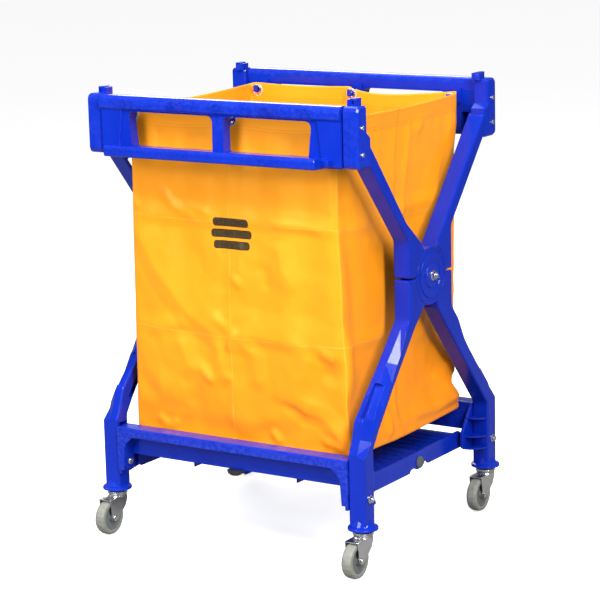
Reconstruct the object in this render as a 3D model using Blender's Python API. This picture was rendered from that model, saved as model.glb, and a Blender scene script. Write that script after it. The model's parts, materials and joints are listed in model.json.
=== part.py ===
"""Folding linen trolley: two moulded scissor frames, cloth bag, folding slatted tray, four casters."""
import math
import bpy
import bmesh
from mathutils import Matrix, Vector

# ---- driving dimensions, metres ----
HUB_Z = 0.5715            # height of the scissor pivot
LEG_X0 = 0.2890           # inner face of the legs
LEG_X1 = 0.3280           # outer face of the legs
LAP_GAP = 0.0020          # gap between the two half-thickness hub discs
DISC_R = 0.0620           # hub disc radius
HEAD_X0 = 0.2930          # head block, inner face
HEAD_X1 = 0.3300          # head block, outer face
TOP_Z = 0.9530            # top of rails and heads
RAIL_BOTTOM_Z = 0.8290
RAIL_HALF = 0.2925        # half length of a rail
RAIL_FACE_Y = 0.2950      # front of the grip bar
RAIL_BACK_Y = 0.2620      # inner face of the rail
HANDLE_HALF = 0.2570
HANDLE_FACE_Y = 0.33325   # front of the handle, as far out as the caster wheels
WINDOW_IN = 0.0130
WINDOW_OUT = 0.2240
WINDOW_TOP = 0.9200
WINDOW_BOTTOM = 0.8470
PEG_TOP = 0.9665
SCREW_Y = 0.2700
SCREW_Z = (0.9110, 0.8580)
FOOT_Y = 0.26275          # centre of the lower leg
FOOT_X = 0.3105
FOOT_Z = 0.0945           # underside of the foot collar
COLLAR_R = 0.0315
LEG_BOLT_Z = 0.1590
BEAM_TOP = 0.2385
BEAM_FACE_Y = 0.2850
BEAM_BACK_Y = 0.2455
PIVOT_Y = 0.2250          # tray trunnion axis
PIVOT_Z = 0.1600
SEAM_Y = 0.0450           # tray seam
BAG_X = 0.2670
BAG_Y = 0.2350
BAG_TOP = 0.9260
BAG_BOTTOM = 0.2380
CLOTH = 0.0024
HOOK_X = (-0.2480, 0.0, 0.2480)
HOOK_Z = 0.9080
EYE_R = 0.0062
SWIVEL_Z = 0.0830          # ball race between caster stem and fork
WHEEL_R = 0.0375
TRAIL = 0.0330            # wheel axle behind the swivel axis
SIDES = 0.56              # share of the full number of sides on turned pieces

for old in list(bpy.data.objects):
    bpy.data.objects.remove(old, do_unlink=True)
for old in list(bpy.data.meshes):
    bpy.data.meshes.remove(old)


# ---- materials ----
def material(name, colour, metallic, roughness):
    m = bpy.data.materials.new(name)
    m.use_nodes = True
    b = m.node_tree.nodes["Principled BSDF"]
    b.inputs["Base Color"].default_value = (*colour, 1.0)
    b.inputs["Metallic"].default_value = metallic
    b.inputs["Roughness"].default_value = roughness
    return m


def blue(name):
    return material(name, (0.010, 0.045, 0.62), 0.0, 0.25)


def steel(name):
    return material(name, (0.72, 0.72, 0.72), 1.0, 0.22)


# ---- solid helpers ----
def bm_object(name, bm, mat=None):
    bmesh.ops.remove_doubles(bm, verts=bm.verts, dist=1e-6)
    bmesh.ops.recalc_face_normals(bm, faces=bm.faces)
    mesh = bpy.data.meshes.new(name)
    bm.to_mesh(mesh)
    bm.free()
    ob = bpy.data.objects.new(name, mesh)
    bpy.context.collection.objects.link(ob)
    if mat:
        mesh.materials.append(mat)
    return ob


def fillet(points, steps=3):
    """Round the corners of a closed outline. A point may carry its own radius as a third number."""
    out = []
    count = len(points)
    for i, p in enumerate(points):
        r = p[2] if len(p) > 2 else 0.0
        here = Vector((p[0], p[1]))
        if r <= 0.0:
            out.append(here)
            continue
        before = Vector(points[i - 1][:2])
        after = Vector(points[(i + 1) % count][:2])
        a = (before - here).normalized()
        b = (after - here).normalized()
        half = a.angle(b) / 2
        back = r / math.tan(half)
        back = min(back, 0.45 * (before - here).length, 0.45 * (after - here).length)
        radius = back * math.tan(half)
        centre = here + (a + b).normalized() * (radius / math.sin(half))
        start = here + a * back - centre
        end = here + b * back - centre
        turn = start.angle_signed(end)
        for k in range(steps + 1):
            q = start.copy()
            q.rotate(Matrix.Rotation(-turn * k / steps, 2))
            out.append(centre + q)
    return out


def prism(points, lo, hi, axis="X", bevel=0.0, segments=2, steps=2, every=False):
    """Extrude a closed outline along an axis. X takes (y, z), Y takes (x, z), Z takes (x, y)."""
    outline = fillet(points, steps)
    bm = bmesh.new()

    def place(a, b, t):
        if axis == "X":
            return (t, a, b)
        if axis == "Y":
            return (a, t, b)
        return (a, b, t)

    low = [bm.verts.new(place(p.x, p.y, lo)) for p in outline]
    high = [bm.verts.new(place(p.x, p.y, hi)) for p in outline]
    caps = [bm.faces.new(low), bm.faces.new(high)]
    for i in range(len(outline)):
        j = (i + 1) % len(outline)
        bm.faces.new((low[i], low[j], high[j], high[i]))
    bmesh.ops.recalc_face_normals(bm, faces=bm.faces)
    if bevel > 0.0:
        if every:
            edges = list(bm.edges)
        else:
            edges = [e for f in caps for e in f.edges]
        bmesh.ops.bevel(
            bm, geom=edges, offset=bevel, segments=segments, profile=0.5, affect="EDGES", clamp_overlap=True
        )
    return bm


def box(x0, x1, y0, y1, z0, z1, bevel=0.0, segments=2):
    pts = [(y0, z0), (y1, z0), (y1, z1), (y0, z1)]
    return prism(pts, x0, x1, "X", bevel, segments, every=True)


def revolve(profile, axis, centre, n=32):
    """Turn a closed (radius, along) profile about an axis through centre."""
    n = max(10, 2 * round(n * SIDES / 2))
    bm = bmesh.new()
    rings = []
    for k in range(n):
        t = 2 * math.pi * k / n
        ring = []
        for r, h in profile:
            c, s = r * math.cos(t), r * math.sin(t)
            if axis == "X":
                v = (h, c, s)
            elif axis == "Y":
                v = (c, h, s)
            else:
                v = (c, s, h)
            ring.append(bm.verts.new(Vector(v) + Vector(centre)))
        rings.append(ring)
    m = len(profile)
    for k in range(n):
        a, b = rings[k], rings[(k + 1) % n]
        for i in range(m):
            j = (i + 1) % m
            if profile[i][0] < 1e-7 and profile[j][0] < 1e-7:
                continue
            bm.faces.new((a[i], a[j], b[j], b[i]))
    bmesh.ops.remove_doubles(bm, verts=bm.verts, dist=1e-7)
    bmesh.ops.dissolve_degenerate(bm, edges=bm.edges, dist=1e-7)
    return bm


def cylinder(r, lo, hi, axis, centre, n=24, chamfer=0.0):
    c = chamfer
    if c > 0.0:
        prof = [(0, lo), (r - c, lo), (r, lo + c), (r, hi - c), (r - c, hi), (0, hi)]
    else:
        prof = [(0, lo), (r, lo), (r, hi), (0, hi)]
    return revolve(prof, axis, centre, n)


def solve(target, others, how):
    """Apply EXACT booleans of the target with each mesh in turn, then drop the cutters."""
    for bm in others:
        cutter = bm_object("cutter", bm)
        mod = target.modifiers.new("b", "BOOLEAN")
        mod.operation = how
        mod.solver = "EXACT"
        mod.object = cutter
        deps = bpy.context.evaluated_depsgraph_get()
        fresh = bpy.data.meshes.new_from_object(target.evaluated_get(deps))
        target.modifiers.remove(mod)
        weld = bmesh.new()
        weld.from_mesh(fresh)
        bmesh.ops.remove_doubles(weld, verts=weld.verts, dist=4e-6)
        bmesh.ops.dissolve_degenerate(weld, edges=weld.edges, dist=4e-6)
        weld.to_mesh(fresh)
        weld.free()
        old = target.data
        target.data = fresh
        bpy.data.meshes.remove(old)
        mesh = cutter.data
        bpy.data.objects.remove(cutter, do_unlink=True)
        bpy.data.meshes.remove(mesh)
    return target


def join(target, *others):
    return solve(target, others, "UNION")


def cut(target, *others):
    return solve(target, others, "DIFFERENCE")


def finish(ob, name, mat, flip_x=False, flip_y=False):
    """Weld, mirror if asked, and give the one material."""
    bm = bmesh.new()
    bm.from_mesh(ob.data)
    bmesh.ops.remove_doubles(bm, verts=bm.verts, dist=2e-6)
    bmesh.ops.dissolve_degenerate(bm, edges=bm.edges, dist=2e-6)
    sx = -1.0 if flip_x else 1.0
    sy = -1.0 if flip_y else 1.0
    bmesh.ops.transform(bm, matrix=Matrix.Diagonal((sx, sy, 1.0, 1.0)), verts=bm.verts)
    if sx * sy < 0:
        bmesh.ops.reverse_faces(bm, faces=bm.faces)
    for f in bm.faces:
        f.material_index = 0
    bm.to_mesh(ob.data)
    bm.free()
    ob.name = name
    ob.data.name = name
    ob.data.materials.clear()
    ob.data.materials.append(mat)
    ob.data.shade_smooth()
    ob.data.set_sharp_from_angle(angle=math.radians(32))
    return ob


def cells(start, end, width, count, rib, lo, hi, out=0.0):
    """Row of pockets along a sloped arm, outline in (y, z), cut from lo to hi along X."""
    a, b = Vector(start), Vector(end)
    along = (b - a).normalized()
    side = Vector((-along.y, along.x))
    each = ((b - a).length - rib * (count - 1)) / count
    made = []
    for i in range(count):
        p = a + along * (i * (each + rib)) + side * out
        q = p + along * each
        pts = [p - side * width / 2, q - side * width / 2, q + side * width / 2, p + side * width / 2]
        made.append(prism([(v.x, v.y) for v in pts], lo, hi, "X"))
    return made


def slant(crest, fallen, lo, hi, out):
    """Wedge that falls from a crest line at X = lo to a lower line at X = hi, open to the outside."""
    away = Vector(out) * 0.08
    bm = bmesh.new()
    rings = []
    for a, b in zip(crest, fallen):
        a, b = Vector(a), Vector(b)
        past = b + (b - a) * 0.25
        far = hi + (hi - lo) * 0.25
        corners = [(lo, a), (far, past), (far, past + away), (lo, a + away)]
        rings.append([bm.verts.new((x, p.x, p.y)) for x, p in corners])
    for a, b in zip(rings, rings[1:]):
        for i in range(4):
            j = (i + 1) % 4
            bm.faces.new((a[i], a[j], b[j], b[i]))
    bm.faces.new(rings[0])
    bm.faces.new(rings[-1])
    bmesh.ops.recalc_face_normals(bm, faces=bm.faces)
    bmesh.ops.triangulate(bm, faces=bm.faces)
    return bm


# ---- legs ----
def leg(kind):
    """One right-hand leg, drawn as front-top to back-bottom. Kind A carries the outer hub disc."""
    upper_end = 0.5785 if kind == "A" else 0.5720
    lower_end = 0.5680 if kind == "A" else 0.5745
    head = [
        (-0.2870, RAIL_BOTTOM_Z, 0.010), (-0.2360, RAIL_BOTTOM_Z, 0.004), (-0.2360, 0.8900, 0.0),
        (-0.2500, 0.9000, 0.004), (-0.2500, TOP_Z, 0.006), (-0.2870, TOP_Z, 0.010),
    ]
    if kind == "A":
        upper = [
            (-0.2595, 0.8570), (-0.2240, 0.8150), (-0.0890, 0.6550, 0.018), (-0.0890, upper_end, 0.003),
            (-0.0280, upper_end), (-0.0200, 0.6210), (-0.0400, 0.6480, 0.012), (-0.0980, 0.6970, 0.020),
            (-0.2440, 0.8830, 0.010), (-0.2595, 0.8900),
        ]
        back_edge = [
            (0.0890, 0.4900, 0.018), (0.1520, 0.4180, 0.010),
            (0.2490, 0.3160, 0.012), (0.2650, 0.2800, 0.012),
        ]
        front_edge = [
            (0.2440, 0.2430, 0.018), (0.2040, 0.2895), (0.1310, 0.3740),
            (0.0636, 0.4531, 0.018), (0.0300, 0.4950),
        ]
        cell_row = ((0.1050, 0.4300), (0.2150, 0.2980))
        crest = [
            (0.0950, 0.4850), (0.1520, 0.4200), (0.2000, 0.3690),
            (0.2500, 0.3170), (0.2660, 0.2800), (0.2830, 0.2480),
        ]
        fallen = [
            (0.0950, 0.4850), (0.1400, 0.4090), (0.1720, 0.3700),
            (0.2184, 0.3161), (0.2500, 0.2800), (0.2830, 0.2420),
        ]
    else:
        upper = [
            (-0.2595, 0.8570), (-0.2290, 0.8260), (-0.0890, 0.6640, 0.018), (-0.0890, upper_end, 0.003),
            (-0.0280, upper_end), (-0.0200, 0.6210), (-0.0340, 0.6420, 0.012), (-0.2340, 0.8760, 0.010),
            (-0.2595, 0.8900),
        ]
        back_edge = [
            (0.0890, 0.4900, 0.018), (0.1570, 0.4150, 0.010),
            (0.2556, 0.3160, 0.012), (0.2670, 0.2800, 0.012),
        ]
        front_edge = [
            (0.2440, 0.2580, 0.018), (0.2210, 0.2915, 0.010), (0.1610, 0.3660),
            (0.0670, 0.4750, 0.018), (0.0300, 0.5100),
        ]
        cell_row = ((0.1300, 0.4180), (0.2320, 0.2900))
        crest = [
            (0.0950, 0.4870), (0.1570, 0.4170), (0.2000, 0.3740),
            (0.2570, 0.3170), (0.2680, 0.2810), (0.2830, 0.2500),
        ]
        fallen = [
            (0.0950, 0.4870), (0.1450, 0.4120), (0.1760, 0.3710),
            (0.2160, 0.3180), (0.2530, 0.2751), (0.2830, 0.2440),
        ]
    lower = [
        (0.0890, lower_end, 0.003), *back_edge, (0.2815, 0.2500, 0.012), (0.2815, 0.0985), (0.2440, 0.0985),
        *front_edge, (0.0220, 0.5180), (0.0280, lower_end),
    ]
    ob = bm_object("leg", prism(upper, LEG_X0, LEG_X1, "X", 0.0065, 2))
    join(ob, prism(head, HEAD_X0, HEAD_X1, "X", 0.0040, 1))
    low = bm_object("low", prism(lower, LEG_X0, LEG_X1, "X", 0.0065, 2))
    # the outward face of the lower arm falls back towards the outer side of the leg
    cut(low, slant(crest, fallen, LEG_X0 + 0.0190, LEG_X1, (0.7071, 0.7071)))
    # hollow, ribbed inner side of both arms, open towards the bag
    cut(ob, *cells((-0.2300, 0.8480), (-0.1130, 0.7060), 0.0190, 4, 0.0035, 0.2800, 0.3180))
    cut(low, *cells(*cell_row, 0.0140, 3, 0.0035, 0.2800, 0.3180, 0.001))
    cut(low, box(0.2800, 0.3190, 0.2510, 0.2745, 0.1700, 0.2450))
    # rounded pocket sunk into that slanting face
    start, end = Vector((0.1950, 0.3850)), Vector((0.2480, 0.3200))
    out = Vector((0.7750, 0.6320))
    pocket = [start - out * 0.0155, end - out * 0.0155, end + out * 0.0300, start + out * 0.0300]
    cut(low, prism([(p.x, p.y) for p in pocket], 0.2995, 0.3380, "X", 0.0040, 2, every=True))
    # lap: each leg gives up half its thickness inside the hub circle
    mid = (LEG_X0 + LEG_X1) / 2
    hub = (0.0, 0.0, HUB_Z)
    if kind == "A":
        lane = (LEG_X0 - 0.01, mid + LAP_GAP / 2 + 0.0005)
        rings = [
            (0.0056, mid + LAP_GAP / 2), (DISC_R, mid + LAP_GAP / 2),
            (DISC_R, 0.3275), (DISC_R - 0.0015, 0.3290),
            (0.0555, 0.3290), (0.0545, 0.3272), (0.0480, 0.3272), (0.0465, 0.3300), (0.0345, 0.3300),
            (0.0335, 0.3284), (0.0270, 0.3284), (0.0255, 0.3310), (0.0056, 0.3310),
        ]
    else:
        lane = (mid - LAP_GAP / 2 - 0.0005, LEG_X1 + 0.01)
        rings = [
            (0.0056, LEG_X0 - 0.0007), (DISC_R - 0.0020, LEG_X0 - 0.0007), (DISC_R, LEG_X0 + 0.0013),
            (DISC_R, mid - LAP_GAP / 2), (0.0056, mid - LAP_GAP / 2),
        ]
    cut(ob, cylinder(DISC_R + 0.0008, lane[0], lane[1], "X", hub, 46))
    cut(low, cylinder(DISC_R + 0.0008, lane[0], lane[1], "X", hub, 46))
    join(ob, revolve(rings, "X", hub, 46))
    copy = bmesh.new()
    copy.from_mesh(low.data)
    bpy.data.objects.remove(low, do_unlink=True)
    join(ob, copy)
    cut(ob, cylinder(0.0056, 0.2700, 0.3500, "X", hub, 24))
    # two-step peg on top of the head
    join(ob, box(HEAD_X0 + 0.0010, 0.3035, -0.2660, -0.2440, TOP_Z - 0.004, PEG_TOP - 0.0020))
    join(ob, box(0.3025, 0.3130, -0.2670, -0.2430, TOP_Z - 0.004, PEG_TOP))
    cut(ob, box(0.3060, 0.3095, -0.2700, -0.2600, TOP_Z + 0.0030, TOP_Z + 0.0090))
    # screw holes through the head
    for z in SCREW_Z:
        cut(ob, cylinder(0.0027, 0.2800, 0.3400, "X", (0, -SCREW_Y, z), 16))
    # round foot collar, stem bore and cross-bolt hole
    foot = (FOOT_X, FOOT_Y, 0.0)
    collar = [
        (0, FOOT_Z), (COLLAR_R, FOOT_Z), (COLLAR_R, FOOT_Z + 0.0045), (COLLAR_R - 0.0015, FOOT_Z + 0.006),
        (0.0245, FOOT_Z + 0.0085), (0.0190, FOOT_Z + 0.0200), (0, FOOT_Z + 0.0200),
    ]
    join(ob, revolve(collar, "Z", foot, 36))
    cut(ob, cylinder(0.0062, FOOT_Z - 0.01, FOOT_Z + 0.0420, "Z", foot, 20))
    cut(ob, cylinder(0.0046, 0.2700, 0.3500, "X", (0, FOOT_Y, LEG_BOLT_Z), 20))
    return ob


leg_a = leg("A")
leg_b = leg("B")
for base, letter, flip in ((leg_a, "a", False), (leg_b, "b", True)):
    for side in ("r", "l"):
        copy = bpy.data.objects.new("copy", base.data.copy())
        bpy.context.collection.objects.link(copy)
        finish(copy, f"leg_{letter}_{side}", blue(f"leg_{letter}_{side}_blue"), side == "l", flip)
    mesh = base.data
    bpy.data.objects.remove(base, do_unlink=True)
    bpy.data.meshes.remove(mesh)


# ---- rails: built for the front, mirrored for the back ----
def rail():
    face = RAIL_FACE_Y
    bar = [
        (-face, 0.9240, 0.007), (-RAIL_BACK_Y, 0.9200, 0.004),
        (-RAIL_BACK_Y, TOP_Z, 0.013), (-face, TOP_Z, 0.014),
    ]
    ob = bm_object("rail", prism(bar, -RAIL_HALF, RAIL_HALF, "X", steps=4))
    # plate below the grip bar with its two windows
    plate = [
        (-RAIL_HALF, 0.9400), (-RAIL_HALF, RAIL_BOTTOM_Z, 0.004), (RAIL_HALF, RAIL_BOTTOM_Z, 0.004),
        (RAIL_HALF, 0.9400),
    ]
    join(ob, prism(plate, -0.2870, -RAIL_BACK_Y - 0.0005, "Y", 0.0015, 1))
    for s in (-1, 1):
        window = [
            (s * WINDOW_IN, WINDOW_TOP, 0.012), (s * (WINDOW_IN + 0.001), WINDOW_BOTTOM, 0.004),
            (s * (WINDOW_OUT - 0.008), WINDOW_BOTTOM, 0.004), (s * WINDOW_OUT, WINDOW_TOP, 0.012),
        ]
        cut(ob, prism(window, -0.3100, -0.2400, "Y", steps=3))
    # raised corner pads at both ends
    for s in (-1, 1):
        pad = [
            (s * 0.2350, 0.9380), (s * 0.2480, 0.8330), (s * 0.2915, 0.8330), (s * 0.2915, 0.9380),
        ]
        join(ob, prism(pad, -0.2905, -0.2800, "Y", 0.0020, 1))
    # lower handle bar, stepped at both ends
    handle = [
        (-HANDLE_FACE_Y, 0.8310, 0.005), (-0.2780, 0.8290), (-0.2780, 0.8480),
        (-HANDLE_FACE_Y, 0.8550, 0.007),
    ]
    join(ob, prism(handle, -HANDLE_HALF, HANDLE_HALF, "X", 0.0020, 1, steps=3))
    join(ob, box(-HANDLE_HALF - 0.014, HANDLE_HALF + 0.014, -0.3060, -0.2800, 0.8340, 0.8490, 0.0020, 1))
    # ribbed hollows in the inner face and under the handle bar
    for x0, x1 in ((-0.2660, -0.2580), (0.2580, 0.2760)):
        cut(ob, box(x0, x1, -0.2840, -0.2550, 0.8360, 0.8780))
    for i in range(6):
        x0 = -0.2500 + i * 0.0838
        cut(ob, box(x0, x0 + 0.0800, -0.3270, -0.2950, 0.8200, 0.8480))
    # bag hooks on the inner side
    for x in HOOK_X:
        hook = [
            (-0.2680, HOOK_Z - 0.0034), (-0.2200, HOOK_Z - 0.0034, 0.002),
            (-0.2200, HOOK_Z + 0.0130, 0.001),
            (-0.2262, HOOK_Z + 0.0100), (-0.2262, HOOK_Z + 0.0034, 0.001), (-0.2680, HOOK_Z + 0.0034),
        ]
        join(ob, prism(hook, x - 0.0034, x + 0.0034, "X", steps=1))
        tab = [
            (x - 0.012, 0.8960, 0.004), (x + 0.012, 0.8960, 0.004),
            (x + 0.012, 0.9300), (x - 0.012, 0.9300),
        ]
        join(ob, prism(tab, -0.2660, -0.2570, "Y"))
    for s in (-1, 1):
        for z in SCREW_Z:
            lo, hi = (0.2600, 0.3000) if s > 0 else (-0.3000, -0.2600)
            cut(ob, cylinder(0.0027, lo, hi, "X", (0, -SCREW_Y, z), 16))
    return ob


rail_base = rail()
for name, flip in (("rail_front", False), ("rail_back", True)):
    copy = bpy.data.objects.new("copy", rail_base.data.copy())
    bpy.context.collection.objects.link(copy)
    finish(copy, name, blue(name + "_blue"), False, flip)
bpy.data.objects.remove(rail_base, do_unlink=True)


# ---- base beams: built for the front, mirrored for the back ----
def beam():
    lip = [
        (-BEAM_FACE_Y, 0.2180, 0.002), (-BEAM_BACK_Y, 0.2180), (-BEAM_BACK_Y, BEAM_TOP, 0.003),
        (-BEAM_FACE_Y, BEAM_TOP, 0.004),
    ]
    ob = bm_object("beam", prism(lip, -0.2884, 0.2884, "X", steps=3))
    join(ob, box(-0.2800, 0.2800, -0.2580, -BEAM_BACK_Y + 0.0001, 0.1760, 0.2200))
    for i in range(4):
        x0 = -0.2700 + i * 0.1360
        cut(ob, box(x0, x0 + 0.1320, -0.2555, -0.2485, 0.1700, 0.2340))
    for s in (-1, 1):
        # cheek beside the leg with its curved inner edge
        cheek = [
            (s * 0.2884, 0.2330), (s * 0.2884, 0.1430), (s * 0.2740, 0.1430), (s * 0.2700, 0.2000, 0.030),
            (s * 0.2480, 0.2200, 0.010), (s * 0.2480, 0.2330),
        ]
        join(ob, prism(cheek, -BEAM_FACE_Y + 0.0004, -0.2480, "Y", steps=4))
        # trunnion plate reaching in under the bag
        plate = [
            (-0.2835, 0.2360), (-0.2835, 0.1340), (-0.2575, 0.1340, 0.004), (-0.2120, 0.1400, 0.008),
            (-0.2010, 0.1460, 0.004), (-0.2010, 0.1780, 0.006), (-0.2450, 0.2360),
        ]
        lo, hi = (0.2812, 0.2884) if s > 0 else (-0.2884, -0.2812)
        join(ob, prism(plate, lo, hi, "X", 0.0008, 1))
        # three curved ribs wrapping round the leg's inner corner
        for z, reach in ((0.2080, 0.0205), (0.1690, 0.0330), (0.1420, 0.0340)):
            curve = [(s * 0.2830, -0.2425)]
            for k in range(5):
                t = math.pi / 2 * k / 4
                curve.append((s * (0.2830 + 0.0420 * math.sin(t)), -0.2425 + reach * math.cos(t)))
            join(ob, prism(curve, z - 0.0016, z + 0.0016, "Z"))
        cut(ob, cylinder(0.0066, min(lo, hi) - 0.003, max(lo, hi) + 0.003, "X", (0, -PIVOT_Y, PIVOT_Z), 20))
        far = (0.2650, 0.3000) if s > 0 else (-0.3000, -0.2650)
        cut(ob, cylinder(0.0046, far[0], far[1], "X", (0, -FOOT_Y, LEG_BOLT_Z), 20))
    cut(ob, cylinder(0.0033, 0.1700, 0.1950, "Z", (0, -0.2520, 0), 16))
    return ob


beam_base = beam()
for name, flip in (("beam_front", False), ("beam_back", True)):
    copy = bpy.data.objects.new("copy", beam_base.data.copy())
    bpy.context.collection.objects.link(copy)
    finish(copy, name, blue(name + "_blue"), False, flip)
bpy.data.objects.remove(beam_base, do_unlink=True)

rubber_dark = material("bumper_rubber", (0.035, 0.022, 0.018), 0.0, 0.6)
for name, s in (("bumper_front", -1), ("bumper_back", 1)):
    dome = [(0, 0.1640), (0.0110, 0.1653), (0.0165, 0.1695), (0.0185, 0.1755), (0, 0.1755)]
    ob = bm_object(name, revolve(dome, "Z", (0, s * 0.2600, 0), 26))
    join(ob, cylinder(0.0028, 0.1700, 0.1850, "Z", (0, s * 0.2520, 0), 20))
    finish(ob, name, rubber_dark)


# ---- tray halves ----
def tray_front():
    """Wider half: walls run outside the other half's and carry the grey caps."""
    front = -PIVOT_Y - 0.0100
    ob = bm_object("tray", box(-0.2740, 0.2740, front, 0.0080, 0.1680, 0.1750))
    join(ob, box(-0.2600, 0.2600, 0.0070, SEAM_Y - 0.0015, 0.1680, 0.1750))
    for i in range(9):
        y0 = -0.2150 + i * 0.0290
        reach = 0.2450 if y0 > -0.010 else 0.2500
        cut(ob, box(-reach, reach, y0, y0 + 0.0060, 0.1722, 0.1800))
    wall = [
        (-PIVOT_Y - 0.0080, 0.1480, 0.004), (-PIVOT_Y, 0.1400, 0.004), (-0.0120, 0.1400), (-0.0050, 0.1470),
        (0.0120, 0.1470), (0.0200, 0.1415, 0.004), (0.0400, 0.1415, 0.006), (0.0500, 0.1480, 0.004),
        (0.0580, 0.1640, 0.004), (0.0580, 0.1800, 0.003), (-PIVOT_Y + 0.0060, 0.1800, 0.003),
        (-PIVOT_Y - 0.0080, 0.1680, 0.003),
    ]
    for s in (-1, 1):
        lo, hi = (0.2712, 0.2760) if s > 0 else (-0.2760, -0.2712)
        join(ob, prism(wall, lo, hi, "X"))
        pin = (0.2735, 0.2868) if s > 0 else (-0.2868, -0.2735)
        join(ob, cylinder(0.0060, pin[0], pin[1], "X", (0, -PIVOT_Y, PIVOT_Z), 20))
        rivet = (0.2600, 0.2800) if s > 0 else (-0.2800, -0.2600)
        cut(ob, cylinder(0.0045, rivet[0], rivet[1], "X", (0, 0.0300, 0.1560), 16))
    for x in (-0.130, 0.0, 0.130):
        join(ob, box(x - 0.0015, x + 0.0015, front + 0.010, 0.0200, 0.1560, 0.1690))
    return ob


def tray_back():
    """Narrower half: floor sits just under the other half's and its walls run inside them."""
    ob = bm_object("tray", box(-0.2670, 0.2670, SEAM_Y + 0.0030, PIVOT_Y + 0.0100, 0.1600, 0.1664))
    for i in range(6):
        y0 = 0.0660 + i * 0.0290
        cut(ob, box(-0.2450, 0.2450, y0, y0 + 0.0060, 0.1640, 0.1700))
    wall = [
        (SEAM_Y + 0.0030, 0.1480), (0.0740, 0.1480), (0.0810, 0.1400), (PIVOT_Y, 0.1400, 0.004),
        (PIVOT_Y + 0.0080, 0.1480, 0.004), (PIVOT_Y + 0.0080, 0.1680, 0.003),
        (PIVOT_Y - 0.0060, 0.1780, 0.003),
        (SEAM_Y + 0.0030, 0.1780, 0.003),
    ]
    for s in (-1, 1):
        lo, hi = (0.2642, 0.2690) if s > 0 else (-0.2690, -0.2642)
        join(ob, prism(wall, lo, hi, "X"))
        pin = (0.2665, 0.2868) if s > 0 else (-0.2868, -0.2665)
        join(ob, cylinder(0.0060, pin[0], pin[1], "X", (0, PIVOT_Y, PIVOT_Z), 20))
    for x in (-0.130, 0.0, 0.130):
        join(ob, box(x - 0.0015, x + 0.0015, 0.0600, PIVOT_Y, 0.1500, 0.1610))
    return ob


finish(tray_front(), "tray_front", blue("tray_front_blue"))
finish(tray_back(), "tray_back", blue("tray_back_blue"))
cap_grey = material("cap_grey", (0.13, 0.14, 0.14), 0.0, 0.5)
for name, s in (("tray_cap_r", 1), ("tray_cap_l", -1)):
    prof = [
        (0, 0.2695), (0.0040, 0.2695), (0.0040, 0.2764), (0.0134, 0.2764), (0.0130, 0.2788), (0, 0.2796),
    ]
    prof = [(r, s * h) for r, h in prof]
    finish(bm_object(name, revolve(prof, "X", (0, 0.0300, 0.1560), 28)), name, cap_grey)

# ---- hub bolts and nuts ----
bolt_steel = steel("hub_bolt_steel")
nut_steel = steel("hub_nut_steel")
for name, s in (("r", 1), ("l", -1)):
    shank = [
        (0, 0.2810), (0.0070, 0.2814), (0.0100, 0.2840), (0.0100, 0.2879), (0.0050, 0.2879),
        (0.0050, 0.3425), (0.0042, 0.3435), (0, 0.3435),
    ]
    ob = bm_object("bolt", revolve([(r, s * h) for r, h in shank], "X", (0, 0, HUB_Z), 24))
    finish(ob, "hub_bolt_" + name, bolt_steel)
    hexagon = []
    for k in range(6):
        turn = math.pi * k / 3
        hexagon.append((0.0088 * math.sin(turn), HUB_Z + 0.0088 * math.cos(turn)))
    lo, hi = sorted((s * 0.3326, s * 0.3388))
    ob = bm_object("nut", prism(hexagon, lo, hi, "X"))
    lo, hi = sorted((s * 0.3314, s * 0.3330))
    join(ob, cylinder(0.0110, lo, hi, "X", (0, 0, HUB_Z), 28))
    lo, hi = sorted((s * 0.3300, s * 0.3400))
    cut(ob, cylinder(0.0054, lo, hi, "X", (0, 0, HUB_Z), 24))
    finish(ob, "hub_nut_" + name, nut_steel)

# ---- rail screws and lower leg bolts ----
screw_steel = steel("rail_screw_steel")
for end, sy in (("f", -1), ("b", 1)):
    for side, s in (("r", 1), ("l", -1)):
        for i, z in enumerate(SCREW_Z):
            prof = [
                (0, 0.2720), (0.0022, 0.2745), (0.0022, 0.3304),
                (0.0050, 0.3304), (0.0044, 0.3328), (0, 0.3338),
            ]
            ob = bm_object("screw", revolve([(r, s * h) for r, h in prof], "X", (0, sy * SCREW_Y, z), 20))
            lo, hi = sorted((s * 0.3326, s * 0.3360))
            cut(ob, box(lo, hi, sy * SCREW_Y - 0.0005, sy * SCREW_Y + 0.0005, z - 0.0034, z + 0.0034))
            finish(ob, f"rail_screw_{end}{side}_{i + 1}", screw_steel)

leg_bolt_steel = steel("leg_bolt_steel")
for end, sy in (("f", -1), ("b", 1)):
    for side, s in (("r", 1), ("l", -1)):
        y, z = sy * FOOT_Y, LEG_BOLT_Z
        prof = [
            (0, 0.2692), (0.0065, 0.2694), (0.0075, 0.2718),
            (0.0040, 0.2718), (0.0040, 0.3366), (0, 0.3366),
        ]
        ob = bm_object("bolt", revolve([(r, s * h) for r, h in prof], "X", (0, y, z), 20))
        hexagon = []
        for k in range(6):
            turn = math.pi * k / 3
            hexagon.append((y + 0.0068 * math.sin(turn), z + 0.0068 * math.cos(turn)))
        lo, hi = sorted((s * 0.3295, s * 0.3345))
        join(ob, prism(hexagon, lo, hi, "X"))
        lo, hi = sorted((s * 0.3284, s * 0.3298))
        join(ob, cylinder(0.0085, lo, hi, "X", (0, y, z), 20))
        finish(ob, f"leg_bolt_{end}{side}", leg_bolt_steel)


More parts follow.
